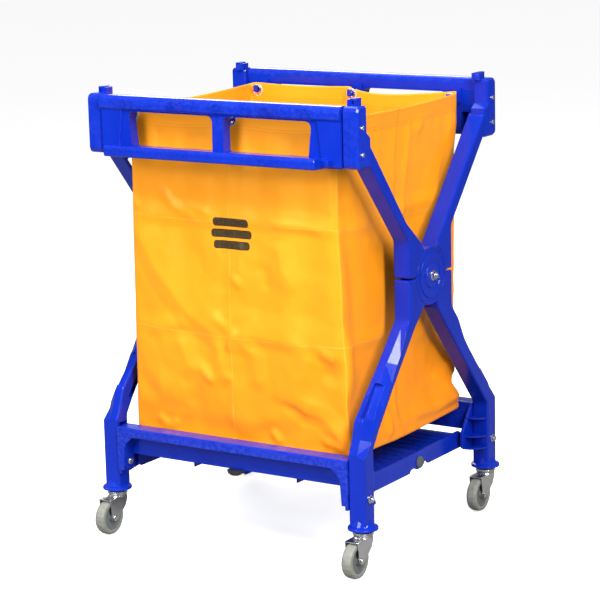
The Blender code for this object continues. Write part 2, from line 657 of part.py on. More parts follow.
# ---- cloth bag with its open top ----
def bag():
    levels = [
        (BAG_TOP, 0.0035, 0.0), (0.8950, 0.0020, 0.0), (0.8200, -0.0010, 0.0), (0.6000, -0.0020, -0.0010),
        (0.4000, -0.0010, -0.0010), (0.2700, 0.0, 0.0),
        (0.2440, -0.0020, -0.0020), (BAG_BOTTOM, -0.0080, -0.0080),
    ]

    def ring(z, hx, hy, r):
        pts = [(hx, -hy, r), (hx, hy, r), (-hx, hy, r), (-hx, -hy, r)]
        return [(p.x, p.y, z) for p in fillet(pts, 2)]

    bm = bmesh.new()
    outer, inner = [], []
    for z, dx, dy in levels:
        outer.append([bm.verts.new(p) for p in ring(z, BAG_X + dx, BAG_Y + dy, 0.010)])
        zi = z if z > 0.25 else z + CLOTH
        inner.append([bm.verts.new(p) for p in ring(zi, BAG_X + dx - CLOTH, BAG_Y + dy - CLOTH, 0.008)])
    n = len(outer[0])
    for loops in (outer, inner):
        for a, b in zip(loops, loops[1:]):
            for i in range(n):
                j = (i + 1) % n
                bm.faces.new((a[i], a[j], b[j], b[i]))
        bm.faces.new(loops[-1])
    for i in range(n):
        j = (i + 1) % n
        bm.faces.new((outer[0][i], outer[0][j], inner[0][j], inner[0][i]))
    ob = bm_object("bag", bm)
    for x in HOOK_X:
        for s in (-1, 1):
            lo, hi = (0.2200, 0.2450) if s > 0 else (-0.2450, -0.2200)
            cut(ob, cylinder(EYE_R + 0.0022, lo, hi, "Y", (x, 0, HOOK_Z), 24))
    return ob


finish(bag(), "bag", material("bag_cloth", (0.95, 0.36, 0.02), 0.0, 0.55))

eye_steel = steel("eyelet_steel")
for end, s in (("f", -1), ("b", 1)):
    mid = s * (BAG_Y - CLOTH / 2)
    near = CLOTH / 2 + 0.0005
    far = CLOTH / 2 + 0.0017
    for i, x in enumerate(HOOK_X):
        prof = [
            (EYE_R, -far), (EYE_R + 0.0042, -far), (EYE_R + 0.0048, -near), (EYE_R + 0.0014, -near),
            (EYE_R + 0.0014, near), (EYE_R + 0.0048, near), (EYE_R + 0.0042, far), (EYE_R, far),
        ]
        prof = [(r, mid + h) for r, h in prof]
        finish(bm_object("eye", revolve(prof, "Y", (x, 0, HOOK_Z), 18)), f"eyelet_{end}_{i + 1}", eye_steel)

# ---- casters, all trailing towards the front ----
stem_steel = steel("stem_steel")
fork_steel = steel("fork_steel")
axle_steel = steel("axle_steel")
centre_grey = material("wheel_centre_grey", (0.16, 0.165, 0.17), 0.0, 0.45)
tyre_grey = material("tyre_rubber_grey", (0.36, 0.36, 0.33), 0.0, 0.6)


def caster(tag, sx, sy):
    """Stem, fork, axle, wheel centre and tyre. The fork's swivel axis is under the leg's centre."""
    xs = sx * FOOT_X
    y = sy * FOOT_Y
    ax_y = y - TRAIL
    stem = [
        (0, 0.0790), (0.0040, 0.0790), (0.0040, 0.0826),
        (0.0205, 0.0826), (0.0220, 0.0850), (0.0210, 0.0890),
        (0.0125, 0.0905), (0.0105, 0.0940), (0.0055, 0.0940), (0.0055, 0.1320), (0, 0.1320),
    ]
    finish(bm_object("stem", revolve(stem, "Z", (xs, y, 0), 32)), f"caster_stem_{tag}", stem_steel)
    top = [
        (xs - 0.0160, ax_y - 0.0140, 0.004), (xs + 0.0160, ax_y - 0.0140, 0.004), (xs + 0.0160, y + 0.0060),
        (xs + 0.0130, y + 0.0170, 0.006), (xs - 0.0130, y + 0.0170, 0.006), (xs - 0.0160, y + 0.0060),
    ]
    ob = bm_object("fork", prism(top, 0.0768, 0.0786, "Z", steps=1))
    cheek = [
        (y + 0.0130, 0.0782), (ax_y - 0.0130, 0.0782),
        (ax_y - 0.0110, 0.0560), (ax_y - 0.0085, 0.0300, 0.008),
        (ax_y + 0.0085, 0.0300, 0.008), (y + 0.0060, 0.0560, 0.006), (y + 0.0130, 0.0700, 0.004),
    ]
    for s in (-1, 1):
        lo, hi = sorted((xs + s * 0.0140, xs + s * 0.0158))
        join(ob, prism(cheek, lo, hi, "X", steps=1))
    race = [
        (0.0045, 0.0775), (0.0200, 0.0775), (0.0200, 0.0800), (0.0180, 0.0820), (0.0045, 0.0820),
    ]
    join(ob, revolve(race, "Z", (xs, y, 0), 32))
    cut(ob, cylinder(0.0045, 0.0700, 0.0850, "Z", (xs, y, 0), 20))
    cut(ob, cylinder(0.0037, xs - 0.0300, xs + 0.0300, "X", (0, ax_y, WHEEL_R), 20))
    finish(ob, f"caster_fork_{tag}", fork_steel)
    axle = [
        (0, -0.0192), (0.0054, -0.0188), (0.0060, -0.0162),
        (0.0033, -0.0162), (0.0033, 0.0162), (0.0060, 0.0162),
        (0.0054, 0.0188), (0, 0.0192),
    ]
    ob = bm_object("axle", revolve([(r, xs + h) for r, h in axle], "X", (0, ax_y, WHEEL_R), 20))
    finish(ob, f"caster_axle_{tag}", axle_steel)
    hub = [
        (0.0038, -0.0125), (0.0085, -0.0125), (0.0105, -0.0065), (0.0225, -0.0060), (0.0240, -0.0095),
        (0.0266, -0.0095), (0.0266, 0.0095), (0.0240, 0.0095), (0.0225, 0.0060), (0.0105, 0.0065),
        (0.0085, 0.0125), (0.0038, 0.0125),
    ]
    ob = bm_object("hub", revolve([(r, xs + h) for r, h in hub], "X", (0, ax_y, WHEEL_R), 30))
    finish(ob, f"wheel_centre_{tag}", centre_grey)
    tyre = [
        (0.0271, -0.0112), (0.0310, -0.0120), (0.0355, -0.0108), (WHEEL_R, -0.0060), (WHEEL_R, 0.0060),
        (0.0355, 0.0108), (0.0310, 0.0120), (0.0271, 0.0112),
    ]
    ob = bm_object("tyre", revolve([(r, xs + h) for r, h in tyre], "X", (0, ax_y, WHEEL_R), 44))
    finish(ob, f"wheel_tyre_{tag}", tyre_grey)


for end, sy in (("f", -1), ("b", 1)):
    for side, s in (("r", 1), ("l", -1)):
        caster(end + side, s, sy)


# ---- an empty on each joint's axis carries the pieces that move together ----
def carrier(name, place, members, under=None):
    empty = bpy.data.objects.new(name, None)
    bpy.context.collection.objects.link(empty)
    empty.location = place
    if under:
        empty.parent = under
        empty.matrix_parent_inverse = Matrix.Translation(-Vector(under["world_place"]))
    empty["world_place"] = place
    for member in members:
        ob = bpy.data.objects[member]
        ob.parent = empty
        ob.matrix_parent_inverse = Matrix.Translation(-Vector(place))
    return empty


def frame_members(letter, top, bottom):
    """Pieces of one scissor frame: it holds one rail at the top and the other side's beam below."""
    names = [f"leg_{letter}_r", f"leg_{letter}_l"]
    names += ["rail_" + {"f": "front", "b": "back"}[top]]
    names += [kind + {"f": "front", "b": "back"}[bottom] for kind in ("beam_", "bumper_")]
    names += [f"eyelet_{top}_{i}" for i in (1, 2, 3)]
    for side in "rl":
        names += [f"rail_screw_{top}{side}_{i}" for i in (1, 2)]
        names += [f"leg_bolt_{bottom}{side}", f"caster_stem_{bottom}{side}"]
    return names


hub_axis = (0.0, 0.0, HUB_Z)
frame_a = carrier("fold_axis_a", hub_axis, frame_members("a", "f", "b"))
frame_b = carrier("fold_axis_b", hub_axis, frame_members("b", "b", "f"))
front_tray = ["tray_front", "tray_cap_r", "tray_cap_l"]
carrier("tray_axis_front", (0.0, -PIVOT_Y, PIVOT_Z), front_tray, frame_b)
carrier("tray_axis_back", (0.0, PIVOT_Y, PIVOT_Z), ["tray_back"], frame_a)
for end, sy, frame in (("f", -1, frame_b), ("b", 1, frame_a)):
    for side, s in (("r", 1), ("l", -1)):
        tag = end + side
        fork = [f"caster_fork_{tag}", f"caster_axle_{tag}"]
        swivel_axis = (s * FOOT_X, sy * FOOT_Y, SWIVEL_Z)
        swivel = carrier("swivel_axis_" + tag, swivel_axis, fork, frame)
        wheel = [f"wheel_centre_{tag}", f"wheel_tyre_{tag}"]
        carrier("roll_axis_" + tag, (s * FOOT_X, sy * FOOT_Y - TRAIL, WHEEL_R), wheel, swivel)
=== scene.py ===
"""Looks of the folding linen trolley: cloth bag, blue mouldings, bright metal, rubber, light and camera."""
import json
import math

import bmesh
import bpy
import numpy as np
from mathutils import Matrix, Vector, noise


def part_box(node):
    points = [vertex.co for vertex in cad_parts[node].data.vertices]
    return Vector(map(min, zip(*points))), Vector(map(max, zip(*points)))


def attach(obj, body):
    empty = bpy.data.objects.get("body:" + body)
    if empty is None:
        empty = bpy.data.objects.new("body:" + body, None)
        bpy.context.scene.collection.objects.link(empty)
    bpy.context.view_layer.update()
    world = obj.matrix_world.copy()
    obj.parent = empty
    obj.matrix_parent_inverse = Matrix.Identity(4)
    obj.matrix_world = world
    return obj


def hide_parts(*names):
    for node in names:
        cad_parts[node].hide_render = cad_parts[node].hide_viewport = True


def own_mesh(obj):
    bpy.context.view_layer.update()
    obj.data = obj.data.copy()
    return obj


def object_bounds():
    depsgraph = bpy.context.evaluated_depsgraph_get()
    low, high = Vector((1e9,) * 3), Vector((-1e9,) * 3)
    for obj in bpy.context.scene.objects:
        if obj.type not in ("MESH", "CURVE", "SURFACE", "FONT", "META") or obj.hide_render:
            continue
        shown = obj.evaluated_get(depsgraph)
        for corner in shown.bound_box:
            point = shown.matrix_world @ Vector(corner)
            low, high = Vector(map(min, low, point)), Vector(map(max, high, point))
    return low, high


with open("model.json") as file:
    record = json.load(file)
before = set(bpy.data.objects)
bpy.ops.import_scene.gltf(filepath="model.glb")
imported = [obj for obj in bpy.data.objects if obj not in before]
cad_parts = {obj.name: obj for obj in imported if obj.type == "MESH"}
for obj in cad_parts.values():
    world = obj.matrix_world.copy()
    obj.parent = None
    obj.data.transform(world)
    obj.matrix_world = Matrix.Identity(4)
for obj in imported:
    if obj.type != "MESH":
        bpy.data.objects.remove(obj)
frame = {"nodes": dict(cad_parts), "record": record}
cad_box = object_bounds()
nodes = frame["nodes"]

# ---- places taken from the frame ----
BAG_LO, BAG_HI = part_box("bag")
EYELETS = sorted(n for n in nodes if n.startswith("eyelet_"))
HALF_Y = BAG_HI.y - 0.0012            # middle of the cloth at the hem
TOP = BAG_HI.z
BOTTOM = BAG_LO.z - 0.0080            # the floor of the limp bag hangs a little lower than its stand-in
CLOTH = 0.0014                        # cloth thickness
CELL = 0.0116                         # spacing of the simulated mesh
HEM = 0.0360                          # depth of the stitched hem
HEM_ROWS = 0.0065                     # gap between the two stitch rows at its lower side
HEM_EDGE = 0.0040                     # third row, below the top edge
PINNED = 0.0450                       # depth of cloth that the simulation keeps still under the hem
FLOOR_HOLD = 0.85                     # how firmly it keeps the lower edge
SLACK = 0.0060                        # share by which the cloth is too large for its place
MOST_MOVE = 0.0060                    # furthest that the simulation may move a point
SIM_FRAMES = 20
FOLD_GAIN = 1.70                      # how sharply the pressed folds stand
WEAVE = 0.0011                        # width of two threads
SEAM_GAP = 0.0030                     # stitch rows either side of a seam
FOLD_RUN = 0.2712                     # pressed line down the front panel, from its left edge at the hem
FOLD_LEAN = 0.0215                    # sideways drift of that line per metre of drop
FOLD_DROPS = (0.2265, 0.4660)         # pressed lines round the bag, below the hem
PRINT_HIGH = 0.6750                   # middle of the print above the floor
BAR_LONG = 0.0510                     # printed bars: half length of the middle one, and half height
BAR_HIGH = 0.0088
BAR_STEP = 0.0060                     # how much shorter the outer bars are at each end
BAR_PITCH = 0.0235
BAR_ROUND = 0.0070


def mesh_object(name, bm, material=None):
    """Turn a bmesh into an object of the scene."""
    mesh = bpy.data.meshes.new(name)
    bm.to_mesh(mesh)
    bm.free()
    ob = bpy.data.objects.new(name, mesh)
    bpy.context.scene.collection.objects.link(ob)
    if material:
        mesh.materials.append(material)
    return ob


# ---- materials ----
class Shader:
    """Small helper around a node tree with one Principled shader."""

    def __init__(self, name):
        self.mat = bpy.data.materials.new(name)
        self.mat.use_nodes = True
        self.tree = self.mat.node_tree
        self.bsdf = self.tree.nodes["Principled BSDF"]

    def node(self, kind, **settings):
        made = self.tree.nodes.new(kind)
        for key, value in settings.items():
            setattr(made, key, value)
        return made

    def link(self, a, b):
        self.tree.links.new(a, b)

    def put(self, socket, value):
        if isinstance(value, (int, float, tuple)):
            socket.default_value = value
        else:
            self.link(value, socket)

    def math(self, how, a, b=0.0):
        made = self.node("ShaderNodeMath", operation=how)
        for socket, value in zip(made.inputs, (a, b)):
            self.put(socket, value)
        return made.outputs[0]

    def largest(self, values):
        """The largest of several values."""
        top = values[0]
        for value in values[1:]:
            top = self.math("MAXIMUM", top, value)
        return top

    def coords(self):
        return self.node("ShaderNodeTexCoord").outputs["Object"]

    def noise(self, scale, detail=3.0, rough=0.55, coords=None, stretch=None):
        at = coords or self.coords()
        if stretch:
            shaped = self.node("ShaderNodeMapping")
            shaped.inputs["Scale"].default_value = stretch
            self.link(at, shaped.inputs["Vector"])
            at = shaped.outputs[0]
        made = self.node("ShaderNodeTexNoise")
        made.inputs["Scale"].default_value = scale
        made.inputs["Detail"].default_value = detail
        made.inputs["Roughness"].default_value = rough
        self.link(at, made.inputs["Vector"])
        return made.outputs["Fac"]

    def ramp(self, value, low, high, a=0.0, b=1.0):
        made = self.node("ShaderNodeMapRange")
        self.put(made.inputs["Value"], value)
        made.inputs["From Min"].default_value = low
        made.inputs["From Max"].default_value = high
        made.inputs["To Min"].default_value = a
        made.inputs["To Max"].default_value = b
        return made.outputs[0]

    def mix(self, factor, a, b):
        made = self.node("ShaderNodeMix", data_type="RGBA")
        self.put(made.inputs["Factor"], factor)
        for socket, value in ((made.inputs[6], a), (made.inputs[7], b)):
            self.put(socket, (*value, 1.0) if isinstance(value, tuple) else value)
        return made.outputs[2]

    def bump(self, height, strength, distance=0.001, normal=None):
        made = self.node("ShaderNodeBump")
        made.inputs["Strength"].default_value = strength
        made.inputs["Distance"].default_value = distance
        self.link(height, made.inputs["Height"])
        if normal:
            self.link(normal, made.inputs["Normal"])
        return made.outputs[0]

    def soft_edges(self, radius):
        made = self.node("ShaderNodeBevel")
        made.samples = 4
        made.inputs["Radius"].default_value = radius
        return made.outputs[0]

    def set(self, **values):
        for key, value in values.items():
            self.put(self.bsdf.inputs[key.replace("_", " ")], value)


def moulding(name, colour, dark, rough=0.17, coat=0.12):
    """Glossy injection moulding: faint flow marks, fine orange peel, paler rubbed edges."""
    s = Shader(name)
    flow = s.noise(9.0, 4.0, 0.6, stretch=(1.0, 1.0, 0.35))
    base = s.mix(s.ramp(flow, 0.35, 0.70), dark, colour)
    edge = s.ramp(s.node("ShaderNodeNewGeometry").outputs["Pointiness"], 0.54, 0.66)
    scuffs = s.math("MULTIPLY", edge, s.ramp(s.noise(120.0, 5.0, 0.7), 0.42, 0.62))
    paler = tuple(min(1.0, c * 1.15 + 0.035) for c in colour)
    base = s.mix(s.math("MULTIPLY", scuffs, 0.55), base, paler)
    rubbed = s.ramp(s.noise(26.0, 5.0, 0.65), 0.30, 0.72, rough - 0.06, rough + 0.09)
    peel = s.bump(s.noise(650.0, 2.0, 0.5), 0.05, 0.0006, s.soft_edges(0.0014))
    normal = s.bump(s.noise(24.0, 2.0, 0.5), 0.035, 0.001, peel)
    s.set(Base_Color=base, Roughness=rubbed, Normal=normal, Coat_Weight=coat, Coat_Roughness=0.07)
    s.set(IOR=1.45, Specular_IOR_Level=0.24)
    return s.mat


def metal(name, colour, rough, brushed, metallic=1.0):
    """Bright zinc: brushed grain and a cloudy passivated tint."""
    s = Shader(name)
    cloud = s.noise(70.0, 4.0, 0.6)
    base = s.mix(s.ramp(cloud, 0.35, 0.7), tuple(c * 0.86 for c in colour), colour)
    grain = s.noise(900.0, 2.0, 0.5, stretch=brushed)
    roughness = s.ramp(cloud, 0.3, 0.75, rough - 0.07, rough + 0.10)
    normal = s.bump(grain, 0.10, 0.0004, s.soft_edges(0.0006))
    s.set(Base_Color=base, Metallic=metallic, Roughness=roughness, Normal=normal)
    return s.mat


def rubber(name, colour, dust, rough):
    """Matte rubber: fine grain, worn and dusty in patches."""
    s = Shader(name)
    wear_and_highlight_patches = s.ramp(s.noise(85.0, 5.0, 0.7), 0.38, 0.66)
    base = s.mix(s.math("MULTIPLY", wear_and_highlight_patches, 0.55), colour, dust)
    grain = s.noise(1500.0, 3.0, 0.6)
    normal = s.bump(grain, 0.16, 0.0005, s.soft_edges(0.0010))
    s.set(Base_Color=base, Roughness=s.ramp(wear_and_highlight_patches, 0.0, 1.0, rough, rough + 0.15), Normal=normal)
    return s.mat


def bar_mask(s, run, drop, centre, half, corner):
    """1 inside a rounded bar on the cloth, 0 outside."""
    squares = []
    for value, middle, reach in ((run, centre[0], half[0]), (drop, centre[1], half[1])):
        off = s.math("ABSOLUTE", s.math("SUBTRACT", value, middle))
        over = s.math("MAXIMUM", s.math("SUBTRACT", off, reach - corner))
        squares.append(s.math("MULTIPLY", over, over))
    far = s.math("SQRT", s.math("ADD", *squares))
    return s.ramp(far, corner - 0.0003, corner + 0.0003, 1.0, 0.0)


def line_mask(s, value, at, wide):
    """1 on a thin line where value equals at, 0 beyond wide."""
    return s.ramp(s.math("ABSOLUTE", s.math("SUBTRACT", value, at)), 0.0004, wide, 1.0, 0.0)


def stitches(s, across, along, at, pitch=0.0042, wide=0.00075):
    """Dashed thread along one line of the cloth."""
    near = s.ramp(s.math("ABSOLUTE", s.math("SUBTRACT", across, at)), wide * 0.6, wide, 1.0, 0.0)
    dash = s.ramp(s.math("FRACT", s.math("DIVIDE", along, pitch)), 0.70, 0.78, 1.0, 0.0)
    return s.math("MULTIPLY", near, dash)


def cloth(name, edges, seams, print_at):
    """Satin orange-yellow woven cloth with hem and seam stitching and a plain printed pictogram."""
    s = Shader(name)
    uv = s.node("ShaderNodeUVMap", uv_map="cloth").outputs[0]
    parts = s.node("ShaderNodeSeparateXYZ")
    s.link(uv, parts.inputs[0])
    run, drop = parts.outputs[0], parts.outputs[1]
    warp, weft = (s.math("SINE", s.math("MULTIPLY", way, 2 * math.pi / WEAVE)) for way in (run, drop))
    weave = s.math("MULTIPLY", warp, weft)
    slub = s.noise(420.0, 3.0, 0.6, coords=uv, stretch=(1.0, 0.12, 1.0))
    cloud = s.noise(4.5, 4.0, 0.55)
    base = s.mix(s.ramp(cloud, 0.34, 0.68), (1.0, 0.315, 0.0050), (1.0, 0.365, 0.0085))
    # painted shade: the cloth is painted a deeper orange towards the bottom, where less light falls
    base = s.mix(s.ramp(drop, 0.15, 0.72, 0.0, 0.65), base, (1.0, 0.245, 0.0030))
    base = s.mix(s.ramp(slub, 0.30, 0.75, 0.0, 0.16), base, (0.95, 0.285, 0.005))
    rows = [stitches(s, drop, run, line) for line in (HEM, HEM - HEM_ROWS, HEM_EDGE)]
    for at in seams:
        rows += [stitches(s, run, drop, at + side) for side in (-SEAM_GAP, SEAM_GAP)]
        base = s.mix(s.math("MULTIPLY", line_mask(s, run, at, 0.0016), 0.60), base, (0.62, 0.13, 0.002))
    threads = s.largest(rows)
    base = s.mix(s.math("MULTIPLY", threads, 0.60), base, (0.72, 0.17, 0.003))
    # painted highlight: bound edges and pressed folds are painted paler along their crests, as if they
    # caught more light
    crest_highlight = s.largest([line_mask(s, run, at, 0.0022) for at in edges])
    wander = s.ramp(s.noise(3.0, 2.0, 0.5, coords=uv), 0.3, 0.7, -0.0030, 0.0030)
    lean = s.math("ADD", s.math("MULTIPLY", drop, FOLD_LEAN), wander)
    pressed = [line_mask(s, s.math("ADD", run, lean), FOLD_RUN, 0.0016)]
    for level in FOLD_DROPS:
        pressed.append(line_mask(s, s.math("ADD", drop, wander), level, 0.0018))
    # noise patches that break up the painted highlight along the pressed folds
    wear_and_highlight_patches = s.ramp(s.noise(22.0, 3.0, 0.6, coords=uv), 0.36, 0.60)
    for line in pressed:
        crest_highlight = s.math("MAXIMUM", crest_highlight, s.math("MULTIPLY", line, wear_and_highlight_patches))
    base = s.mix(s.math("MULTIPLY", crest_highlight, 0.50), base, (1.0, 0.52, 0.070))
    bars = []
    for k in (-1, 0, 1):
        centre = (print_at[0], print_at[1] + k * BAR_PITCH)
        half = (BAR_LONG - BAR_STEP * abs(k), BAR_HIGH)
        bars.append(bar_mask(s, run, drop, centre, half, BAR_ROUND))
    mark = s.largest(bars)
    ink = s.math("MULTIPLY", mark, s.ramp(s.noise(260.0, 3.0, 0.6, coords=uv), 0.30, 0.46, 0.82, 1.0))
    base = s.mix(ink, base, (0.012, 0.010, 0.010))
    height = s.math("ADD", s.math("MULTIPLY", weave, 0.5), s.math("MULTIPLY", slub, 1.2))
    fine = s.bump(height, 0.10, 0.0004)
    sewn = s.bump(threads, 0.55, 0.0008, fine)
    puckers = s.noise(34.0, 4.0, 0.6, coords=uv, stretch=(1.0, 0.55, 1.0))
    normal = s.bump(puckers, 0.16, 0.004, sewn)
    s.set(Base_Color=base, Roughness=s.ramp(cloud, 0.3, 0.7, 0.40, 0.50), Normal=normal)
    s.set(Sheen_Weight=0.08, Sheen_Roughness=0.5, Sheen_Tint=(1.0, 0.70, 0.20, 1.0), Specular_IOR_Level=0.7)
    s.set(Specular_Tint=(1.0, 0.78, 0.34, 1.0))
    return s.mat


BLUE = moulding("frame_blue", (0.0028, 0.027, 0.44), (0.0020, 0.019, 0.36))
STEEL = metal("bright_steel", (0.80, 0.80, 0.79), 0.20, (1.0, 1.0, 0.10))
NICKEL = metal("eyelet_nickel", (0.88, 0.88, 0.86), 0.26, (1.0, 1.0, 1.0), 0.45)
TYRE = rubber("tyre_grey", (0.21, 0.22, 0.19), (0.34, 0.34, 0.31), 0.50)
CENTRE = moulding("wheel_centre_grey", (0.17, 0.18, 0.18), (0.12, 0.13, 0.13), 0.42, 0.1)
CAP = moulding("cap_grey", (0.11, 0.12, 0.115), (0.075, 0.085, 0.08), 0.45, 0.1)
BUMPER = rubber("bumper_rubber", (0.020, 0.014, 0.012), (0.060, 0.050, 0.045), 0.55)

LOOKS = {
    "frame_blue": BLUE, "bright_steel": STEEL, "tyre_grey": TYRE, "wheel_centre_grey": CENTRE,
    "cap_grey": CAP, "bumper_rubber": BUMPER,
}
for row in frame["record"]["subparts"]:
    ob = nodes[row["node"]]
    look = LOOKS.get(row["material_slot"])
    if look is None:
        continue
    ob.data.materials.clear()
    ob.data.materials.append(look)
    ob.data.shade_smooth()
    ob.data.set_sharp_from_angle(angle=math.radians(30))


# ---- the cloth bag ----
def blend(keys, t):
    """Piecewise smooth value at t from (t, value) keys."""
    if t <= keys[0][0]:
        return keys[0][1]
    for (a, va), (b, vb) in zip(keys, keys[1:]):
        if t <= b:
            k = (t - a) / (b - a)
            k = k * k * (3 - 2 * k)
            return va + (vb - va) * k
    return keys[-1][1]


# how each upright edge of the bag leans, as height above the floor: sideways place
EDGE_FL_X = [(0.22, -0.2720), (0.40, -0.2690), (0.60, -0.2670), (0.81, -0.2630), (0.93, -0.2640)]
EDGE_FR_X = [(0.22, 0.2680), (0.35, 0.2610), (0.56, 0.2535), (0.72, 0.2480), (0.81, 0.2470), (0.93, 0.2610)]
EDGE_BR_Y = [
    (0.22, 0.2330), (0.262, 0.2180), (0.303, 0.1870), (0.330, 0.2050), (0.45, 0.2150), (0.81, 0.2220),
    (0.90, HALF_Y),
]
EDGE_BL_Y = [(0.22, 0.2300), (0.30, 0.2120), (0.42, 0.2200), (0.81, 0.2240), (0.90, HALF_Y)]
EDGE_B_X = [(0.22, 0.2680), (0.50, 0.2640), (0.93, 0.2670)]


def corner_points(z):
    """Front-left, front-right, back-right and back-left corners of the bag at one height."""
    back_x = blend(EDGE_B_X, z)
    return (
        Vector((blend(EDGE_FL_X, z), -HALF_Y)),
        Vector((blend(EDGE_FR_X, z), -HALF_Y)),
        Vector((back_x, blend(EDGE_BR_Y, z))),
        Vector((-back_x, blend(EDGE_BL_Y, z))),
    )


def crease(places, lines):
    """Sum of folds at places (s, z). Each fold is a row of points, its height, and how far it falls
    away to the left and to the right of the walk along the points, with s to the right and z up."""
    total = np.zeros(len(places))
    for points, high, left, right in lines:
        count = len(points) - 1
        nearest = np.full(len(places), 9.0)
        width = np.ones(len(places))
        along = np.zeros(len(places))
        for i in range(count):
            start = np.array(points[i])
            run = np.array(points[i + 1]) - start
            k = np.clip((places - start) @ run / (run @ run), 0.0, 1.0)
            off = places - (start + k[:, None] * run)
            far = np.linalg.norm(off, axis=1)
            side = run[0] * off[:, 1] - run[1] * off[:, 0]
            better = far < nearest
            nearest = np.where(better, far, nearest)
            width = np.where(better, np.where(side > 0, left, right), width)
            along = np.where(better, (i + k) / count, along)
        ends = np.clip(np.minimum(6.0 * along, 6.0 * (1 - along)) + 0.15, 0.0, 1.0)
        total += FOLD_GAIN * high * np.clip(1 - nearest / width, 0.0, 1.0) * ends
    return total


# folds of the front panel: s is X, from left to right, z is height above the floor; + is outward
FRONT_FOLDS = [
    # pressed centre fold and the two packing folds
    (((-0.004, 0.930), (-0.008, 0.580), (-0.014, 0.460), (-0.013, 0.230)), 0.0030, 0.060, 0.022),
    (((-0.270, 0.702), (-0.150, 0.697), (0.140, 0.702), (0.262, 0.693)), 0.0022, 0.030, 0.020),
    (((-0.010, 0.466), (0.060, 0.458), (0.180, 0.452), (0.262, 0.432)), 0.0036, 0.060, 0.022),
    (((-0.272, 0.462), (-0.190, 0.462), (-0.120, 0.470)), 0.0024, 0.030, 0.026),
    # long slanting pull from the upper left down to the middle
    (((-0.262, 0.690), (-0.200, 0.585), (-0.120, 0.492), (-0.020, 0.448)), 0.0046, 0.095, 0.038),
    # lower left patch
    (((-0.255, 0.455), (-0.205, 0.385), (-0.188, 0.270)), 0.0036, 0.060, 0.050),
    (((-0.150, 0.452), (-0.128, 0.382), (-0.055, 0.350)), 0.0034, 0.034, 0.034),
    (((-0.100, 0.385), (-0.060, 0.352)), 0.0026, 0.016, 0.014),
    (((-0.052, 0.450), (-0.036, 0.372), (-0.020, 0.360)), 0.0036, 0.018, 0.026),
    (((-0.060, 0.500), (-0.020, 0.470)), 0.0022, 0.016, 0.020),
    # knot where the folds cross
    (((-0.022, 0.425), (-0.002, 0.470)), 0.0034, 0.012, 0.014),
    (((0.002, 0.446), (0.040, 0.420), (0.050, 0.345)), 0.0034, 0.028, 0.026),
    (((-0.006, 0.585), (0.012, 0.560)), 0.0028, 0.016, 0.012),
    (((0.014, 0.655), (0.010, 0.585)), 0.0020, 0.012, 0.016),
    # lower right facets
    (((0.186, 0.446), (0.150, 0.360), (0.137, 0.312)), 0.0044, 0.026, 0.070),
    (((0.137, 0.318), (0.205, 0.302), (0.240, 0.272), (0.262, 0.248)), 0.0042, 0.034, 0.024),
    (((0.105, 0.330), (0.160, 0.300), (0.230, 0.300)), -0.0026, 0.030, 0.022),
    (((0.200, 0.440), (0.236, 0.425)), 0.0024, 0.016, 0.014),
    (((0.205, 0.395), (0.235, 0.400)), -0.0020, 0.020, 0.022),
    # small pulls near the handle
    (((-0.185, 0.762), (-0.150, 0.722), (-0.095, 0.703)), 0.0036, 0.014, 0.018),
    (((-0.125, 0.728), (-0.060, 0.712)), 0.0028, 0.010, 0.012),
    (((-0.272, 0.735), (-0.238, 0.712)), 0.0026, 0.014, 0.014),
    (((0.085, 0.700), (0.215, 0.694)), 0.0020, 0.012, 0.012),
    (((0.100, 0.665), (0.112, 0.610), (0.150, 0.560)), 0.0022, 0.040, 0.030),
    (((0.066, 0.610), (0.074, 0.560)), -0.0018, 0.020, 0.018),
    # gathered lower edge
    (((-0.215, 0.262), (-0.185, 0.240)), 0.0030, 0.014, 0.016),
    (((-0.165, 0.258), (-0.180, 0.236)), 0.0026, 0.012, 0.012),
    (((0.075, 0.262), (0.098, 0.238)), 0.0032, 0.014, 0.014),
    (((0.200, 0.258), (0.262, 0.240)), 0.0032, 0.014, 0.016),
]
# folds of the right side panel: s is Y, from front to back
SIDE_FOLDS = [
    (((0.042, 0.930), (0.014, 0.720), (-0.030, 0.360), (-0.040, 0.225)), 0.0018, 0.010, 0.014),
    (((-0.235, 0.697), (-0.120, 0.692)), 0.0026, 0.030, 0.022),
    (((-0.020, 0.706), (0.060, 0.708), (0.160, 0.716)), 0.0030, 0.026, 0.030),
    (((-0.232, 0.690), (-0.205, 0.540), (-0.222, 0.330)), 0.0030, 0.030, 0.060),
    (((-0.218, 0.450), (-0.150, 0.455), (-0.050, 0.452)), 0.0026, 0.026, 0.022),
    (((0.060, 0.876), (0.100, 0.890), (0.140, 0.905)), 0.0026, 0.012, 0.014),
    (((0.060, 0.862), (0.090, 0.873)), 0.0022, 0.010, 0.012),
    (((0.100, 0.640), (0.170, 0.820), (0.222, 0.890)), 0.0036, 0.060, 0.050),
    (((0.120, 0.395), (0.165, 0.350), (0.212, 0.305)), 0.0040, 0.030, 0.030),
    (((0.020, 0.262), (0.120, 0.250), (0.215, 0.262)), 0.0046, 0.040, 0.020),
    (((0.120, 0.330), (0.170, 0.285), (0.222, 0.252)), 0.0044, 0.030, 0.026),
    (((-0.060, 0.285), (-0.075, 0.232)), 0.0032, 0.018, 0.018),
    (((0.000, 0.440), (0.090, 0.420)), 0.0024, 0.024, 0.020),
]
